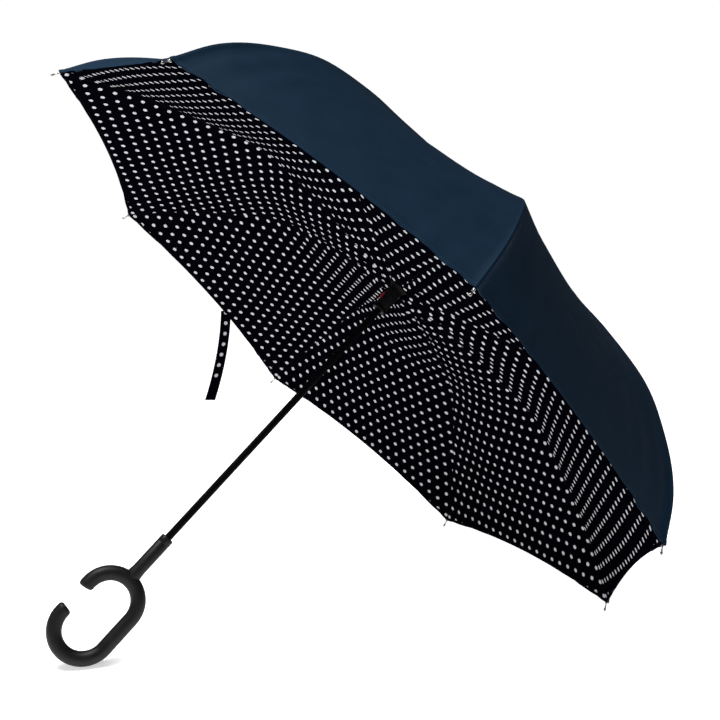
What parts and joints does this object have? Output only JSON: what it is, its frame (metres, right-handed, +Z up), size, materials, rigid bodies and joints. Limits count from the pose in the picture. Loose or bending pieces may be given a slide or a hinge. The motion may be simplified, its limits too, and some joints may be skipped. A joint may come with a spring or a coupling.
{
  "type": "stick umbrella",
  "caption": "Reverse-folding stick umbrella with a double fabric canopy, folding ribs driven by a runner, and a C-shaped hook grip.",
  "frame": {"origin": "on the shaft's axis, level with the lowest point of the C-shaped grip", "axes": "+Z up along the shaft towards the crown; the grip's C lies in the XZ plane with its mouth towards -X; one rib stands over +X"},
  "size_m": [1.0652, 1.0652, 0.8573],
  "materials": {
    "gloss_black_tube": "gloss black lacquer",
    "black_rib_paint": "satin black",
    "bright_steel": "plain steel",
    "black_plastic": "fine moulded grain",
    "charcoal_soft_coat": "soft-touch coat",
    "red_plastic": "smooth",
    "teal_cloth": "plain close weave, water-repellent",
    "black_dotted_cloth": "close weave printed with small light dots, plain hem"
  },
  "bodies": {
    "shaft": {"shaft": "gloss_black_tube", "c_handle": "charcoal_soft_coat", "handle_pin": "bright_steel", "crown": "black_plastic", "crown_wire": "bright_steel", "top_cap": "black_plastic", "canopy_washer": "bright_steel", "outer_canopy": "teal_cloth"},
    "runner": {"runner": "black_plastic", "runner_wire": "bright_steel", "button_spring": "bright_steel"},
    "release_button": {"release_button": "red_plastic"},
    "main_rib_1": {"main_rib_1": "black_rib_paint"},
    "outer_rib_1": {"outer_rib_1": "black_rib_paint", "rib_tip_1": "bright_steel"},
    "stretcher_1": {"stretcher_1": "black_rib_paint"},
    "inner_canopy_1": {"inner_canopy_1": "black_dotted_cloth"},
    "main_rib_2": {"main_rib_2": "black_rib_paint"},
    "outer_rib_2": {"outer_rib_2": "black_rib_paint", "rib_tip_2": "bright_steel"},
    "stretcher_2": {"stretcher_2": "black_rib_paint"},
    "inner_canopy_2": {"inner_canopy_2": "black_dotted_cloth"},
    "main_rib_3": {"main_rib_3": "black_rib_paint"},
    "outer_rib_3": {"outer_rib_3": "black_rib_paint", "rib_tip_3": "bright_steel"},
    "stretcher_3": {"stretcher_3": "black_rib_paint"},
    "inner_canopy_3": {"inner_canopy_3": "black_dotted_cloth"},
    "main_rib_4": {"main_rib_4": "black_rib_paint"},
    "outer_rib_4": {"outer_rib_4": "black_rib_paint", "rib_tip_4": "bright_steel"},
    "stretcher_4": {"stretcher_4": "black_rib_paint"},
    "inner_canopy_4": {"inner_canopy_4": "black_dotted_cloth"},
    "main_rib_5": {"main_rib_5": "black_rib_paint"},
    "outer_rib_5": {"outer_rib_5": "black_rib_paint", "rib_tip_5": "bright_steel"},
    "stretcher_5": {"stretcher_5": "black_rib_paint"},
    "inner_canopy_5": {"inner_canopy_5": "black_dotted_cloth"},
    "main_rib_6": {"main_rib_6": "black_rib_paint"},
    "outer_rib_6": {"outer_rib_6": "black_rib_paint", "rib_tip_6": "bright_steel"},
    "stretcher_6": {"stretcher_6": "black_rib_paint"},
    "inner_canopy_6": {"inner_canopy_6": "black_dotted_cloth"},
    "main_rib_7": {"main_rib_7": "black_rib_paint"},
    "outer_rib_7": {"outer_rib_7": "black_rib_paint", "rib_tip_7": "bright_steel"},
    "stretcher_7": {"stretcher_7": "black_rib_paint"},
    "inner_canopy_7": {"inner_canopy_7": "black_dotted_cloth"},
    "main_rib_8": {"main_rib_8": "black_rib_paint"},
    "outer_rib_8": {"outer_rib_8": "black_rib_paint", "rib_tip_8": "bright_steel"},
    "stretcher_8": {"stretcher_8": "black_rib_paint"},
    "inner_canopy_8": {"inner_canopy_8": "black_dotted_cloth"},
    "closing_strap": {"closing_strap": "black_dotted_cloth"}
  },
  "joints": [
    {"name": "runner_slide", "type": "slide", "parent": "shaft", "child": "runner", "axis": [0, 0, -1], "range_m": [0, 0.3965], "deforming": ["outer_canopy", "inner_canopy_1", "inner_canopy_2", "inner_canopy_3", "inner_canopy_4", "inner_canopy_5", "inner_canopy_6", "inner_canopy_7", "inner_canopy_8"]},
    {"name": "release_button_press", "type": "slide", "parent": "runner", "child": "release_button", "axis": [1, 0, 0], "range_m": [0, 0.0015], "stiffness_N_per_m": 400},
    {"name": "main_rib_hinge_1", "type": "hinge", "parent": "runner", "child": "main_rib_1", "pos_m": [0.015, 0, 0.675], "axis": [0, -1, 0], "range_deg": [0, 73.3]},
    {"name": "knee_1", "type": "hinge", "parent": "main_rib_1", "child": "outer_rib_1", "pos_m": [0.28, 0, 0.7545], "axis": [0, -1, 0], "range_deg": [0, 38.7]},
    {"name": "stretcher_hinge_1", "type": "hinge", "parent": "shaft", "child": "stretcher_1", "pos_m": [0.012, 0.0046, 0.835], "axis": [0, 1, 0], "range_deg": [0, 73.28]},
    {"name": "cloth_hinge_1", "type": "hinge", "parent": "outer_rib_1", "child": "inner_canopy_1", "pos_m": [0.5215, 0, 0.5485], "axis": [0, 1, 0], "range_deg": [0, 17.7]},
    {"name": "main_rib_hinge_2", "type": "hinge", "parent": "runner", "child": "main_rib_2", "pos_m": [0.01061, 0.01061, 0.675], "axis": [0.7071, -0.7071, 0], "range_deg": [0, 73.3]},
    {"name": "knee_2", "type": "hinge", "parent": "main_rib_2", "child": "outer_rib_2", "pos_m": [0.19799, 0.19799, 0.7545], "axis": [0.7071, -0.7071, 0], "range_deg": [0, 38.7]},
    {"name": "stretcher_hinge_2", "type": "hinge", "parent": "shaft", "child": "stretcher_2", "pos_m": [0.00523, 0.01174, 0.835], "axis": [-0.7071, 0.7071, 0], "range_deg": [0, 73.28]},
    {"name": "cloth_hinge_2", "type": "hinge", "parent": "outer_rib_2", "child": "inner_canopy_2", "pos_m": [0.36876, 0.36876, 0.5485], "axis": [-0.7071, 0.7071, 0], "range_deg": [0, 17.7]},
    {"name": "main_rib_hinge_3", "type": "hinge", "parent": "runner", "child": "main_rib_3", "pos_m": [0, 0.015, 0.675], "axis": [1, 0, 0], "range_deg": [0, 73.3]},
    {"name": "knee_3", "type": "hinge", "parent": "main_rib_3", "child": "outer_rib_3", "pos_m": [0, 0.28, 0.7545], "axis": [1, 0, 0], "range_deg": [0, 38.7]},
    {"name": "stretcher_hinge_3", "type": "hinge", "parent": "shaft", "child": "stretcher_3", "pos_m": [-0.0046, 0.012, 0.835], "axis": [-1, 0, 0], "range_deg": [0, 73.28]},
    {"name": "cloth_hinge_3", "type": "hinge", "parent": "outer_rib_3", "child": "inner_canopy_3", "pos_m": [0, 0.5215, 0.5485], "axis": [-1, 0, 0], "range_deg": [0, 17.7]},
    {"name": "main_rib_hinge_4", "type": "hinge", "parent": "runner", "child": "main_rib_4", "pos_m": [-0.01061, 0.01061, 0.675], "axis": [0.7071, 0.7071, 0], "range_deg": [0, 73.3]},
    {"name": "knee_4", "type": "hinge", "parent": "main_rib_4", "child": "outer_rib_4", "pos_m": [-0.19799, 0.19799, 0.7545], "axis": [0.7071, 0.7071, 0], "range_deg": [0, 38.7]},
    {"name": "stretcher_hinge_4", "type": "hinge", "parent": "shaft", "child": "stretcher_4", "pos_m": [-0.01174, 0.00523, 0.835], "axis": [-0.7071, -0.7071, 0], "range_deg": [0, 73.28]},
    {"name": "cloth_hinge_4", "type": "hinge", "parent": "outer_rib_4", "child": "inner_canopy_4", "pos_m": [-0.36876, 0.36876, 0.5485], "axis": [-0.7071, -0.7071, 0], "range_deg": [0, 17.7]},
    {"name": "main_rib_hinge_5", "type": "hinge", "parent": "runner", "child": "main_rib_5", "pos_m": [-0.015, 0, 0.675], "axis": [0, 1, 0], "range_deg": [0, 73.3]},
    {"name": "knee_5", "type": "hinge", "parent": "main_rib_5", "child": "outer_rib_5", "pos_m": [-0.28, 0, 0.7545], "axis": [0, 1, 0], "range_deg": [0, 38.7]},
    {"name": "stretcher_hinge_5", "type": "hinge", "parent": "shaft", "child": "stretcher_5", "pos_m": [-0.012, -0.0046, 0.835], "axis": [0, -1, 0], "range_deg": [0, 73.28]},
    {"name": "cloth_hinge_5", "type": "hinge", "parent": "outer_rib_5", "child": "inner_canopy_5", "pos_m": [-0.5215, 0, 0.5485], "axis": [0, -1, 0], "range_deg": [0, 17.7]},
    {"name": "main_rib_hinge_6", "type": "hinge", "parent": "runner", "child": "main_rib_6", "pos_m": [-0.01061, -0.01061, 0.675], "axis": [-0.7071, 0.7071, 0], "range_deg": [0, 73.3]},
    {"name": "knee_6", "type": "hinge", "parent": "main_rib_6", "child": "outer_rib_6", "pos_m": [-0.19799, -0.19799, 0.7545], "axis": [-0.7071, 0.7071, 0], "range_deg": [0, 38.7]},
    {"name": "stretcher_hinge_6", "type": "hinge", "parent": "shaft", "child": "stretcher_6", "pos_m": [-0.00523, -0.01174, 0.835], "axis": [0.7071, -0.7071, 0], "range_deg": [0, 73.28]},
    {"name": "cloth_hinge_6", "type": "hinge", "parent": "outer_rib_6", "child": "inner_canopy_6", "pos_m": [-0.36876, -0.36876, 0.5485], "axis": [0.7071, -0.7071, 0], "range_deg": [0, 17.7]},
    {"name": "main_rib_hinge_7", "type": "hinge", "parent": "runner", "child": "main_rib_7", "pos_m": [0, -0.015, 0.675], "axis": [-1, 0, 0], "range_deg": [0, 73.3]},
    {"name": "knee_7", "type": "hinge", "parent": "main_rib_7", "child": "outer_rib_7", "pos_m": [0, -0.28, 0.7545], "axis": [-1, 0, 0], "range_deg": [0, 38.7]},
    {"name": "stretcher_hinge_7", "type": "hinge", "parent": "shaft", "child": "stretcher_7", "pos_m": [0.0046, -0.012, 0.835], "axis": [1, 0, 0], "range_deg": [0, 73.28]},
    {"name": "cloth_hinge_7", "type": "hinge", "parent": "outer_rib_7", "child": "inner_canopy_7", "pos_m": [0, -0.5215, 0.5485], "axis": [1, 0, 0], "range_deg": [0, 17.7]},
    {"name": "main_rib_hinge_8", "type": "hinge", "parent": "runner", "child": "main_rib_8", "pos_m": [0.01061, -0.01061, 0.675], "axis": [-0.7071, -0.7071, 0], "range_deg": [0, 73.3]},
    {"name": "knee_8", "type": "hinge", "parent": "main_rib_8", "child": "outer_rib_8", "pos_m": [0.19799, -0.19799, 0.7545], "axis": [-0.7071, -0.7071, 0], "range_deg": [0, 38.7]},
    {"name": "stretcher_hinge_8", "type": "hinge", "parent": "shaft", "child": "stretcher_8", "pos_m": [0.01174, -0.00523, 0.835], "axis": [0.7071, 0.7071, 0], "range_deg": [0, 73.28]},
    {"name": "cloth_hinge_8", "type": "hinge", "parent": "outer_rib_8", "child": "inner_canopy_8", "pos_m": [0.36876, -0.36876, 0.5485], "axis": [0.7071, 0.7071, 0], "range_deg": [0, 17.7]},
    {"name": "strap_swing", "type": "hinge", "parent": "inner_canopy_3", "child": "closing_strap", "pos_m": [-0.13634, 0.44794, 0.55261], "axis": [0.7181, -0.251, 0.6491], "range_deg": [-20, 20]}
  ],
  "couplings": [
    {"joint": "main_rib_hinge_1", "follows": "runner_slide", "rad_per_m": 3.2266},
    {"joint": "knee_1", "follows": "runner_slide", "rad_per_m": 1.7035},
    {"joint": "stretcher_hinge_1", "follows": "runner_slide", "rad_per_m": 3.2257},
    {"joint": "cloth_hinge_1", "follows": "runner_slide", "rad_per_m": 0.77913},
    {"joint": "main_rib_hinge_2", "follows": "runner_slide", "rad_per_m": 3.2266},
    {"joint": "knee_2", "follows": "runner_slide", "rad_per_m": 1.7035},
    {"joint": "stretcher_hinge_2", "follows": "runner_slide", "rad_per_m": 3.2257},
    {"joint": "cloth_hinge_2", "follows": "runner_slide", "rad_per_m": 0.77913},
    {"joint": "main_rib_hinge_3", "follows": "runner_slide", "rad_per_m": 3.2266},
    {"joint": "knee_3", "follows": "runner_slide", "rad_per_m": 1.7035},
    {"joint": "stretcher_hinge_3", "follows": "runner_slide", "rad_per_m": 3.2257},
    {"joint": "cloth_hinge_3", "follows": "runner_slide", "rad_per_m": 0.77913},
    {"joint": "main_rib_hinge_4", "follows": "runner_slide", "rad_per_m": 3.2266},
    {"joint": "knee_4", "follows": "runner_slide", "rad_per_m": 1.7035},
    {"joint": "stretcher_hinge_4", "follows": "runner_slide", "rad_per_m": 3.2257},
    {"joint": "cloth_hinge_4", "follows": "runner_slide", "rad_per_m": 0.77913},
    {"joint": "main_rib_hinge_5", "follows": "runner_slide", "rad_per_m": 3.2266},
    {"joint": "knee_5", "follows": "runner_slide", "rad_per_m": 1.7035},
    {"joint": "stretcher_hinge_5", "follows": "runner_slide", "rad_per_m": 3.2257},
    {"joint": "cloth_hinge_5", "follows": "runner_slide", "rad_per_m": 0.77913},
    {"joint": "main_rib_hinge_6", "follows": "runner_slide", "rad_per_m": 3.2266},
    {"joint": "knee_6", "follows": "runner_slide", "rad_per_m": 1.7035},
    {"joint": "stretcher_hinge_6", "follows": "runner_slide", "rad_per_m": 3.2257},
    {"joint": "cloth_hinge_6", "follows": "runner_slide", "rad_per_m": 0.77913},
    {"joint": "main_rib_hinge_7", "follows": "runner_slide", "rad_per_m": 3.2266},
    {"joint": "knee_7", "follows": "runner_slide", "rad_per_m": 1.7035},
    {"joint": "stretcher_hinge_7", "follows": "runner_slide", "rad_per_m": 3.2257},
    {"joint": "cloth_hinge_7", "follows": "runner_slide", "rad_per_m": 0.77913},
    {"joint": "main_rib_hinge_8", "follows": "runner_slide", "rad_per_m": 3.2266},
    {"joint": "knee_8", "follows": "runner_slide", "rad_per_m": 1.7035},
    {"joint": "stretcher_hinge_8", "follows": "runner_slide", "rad_per_m": 3.2257},
    {"joint": "cloth_hinge_8", "follows": "runner_slide", "rad_per_m": 0.77913}
  ]
}
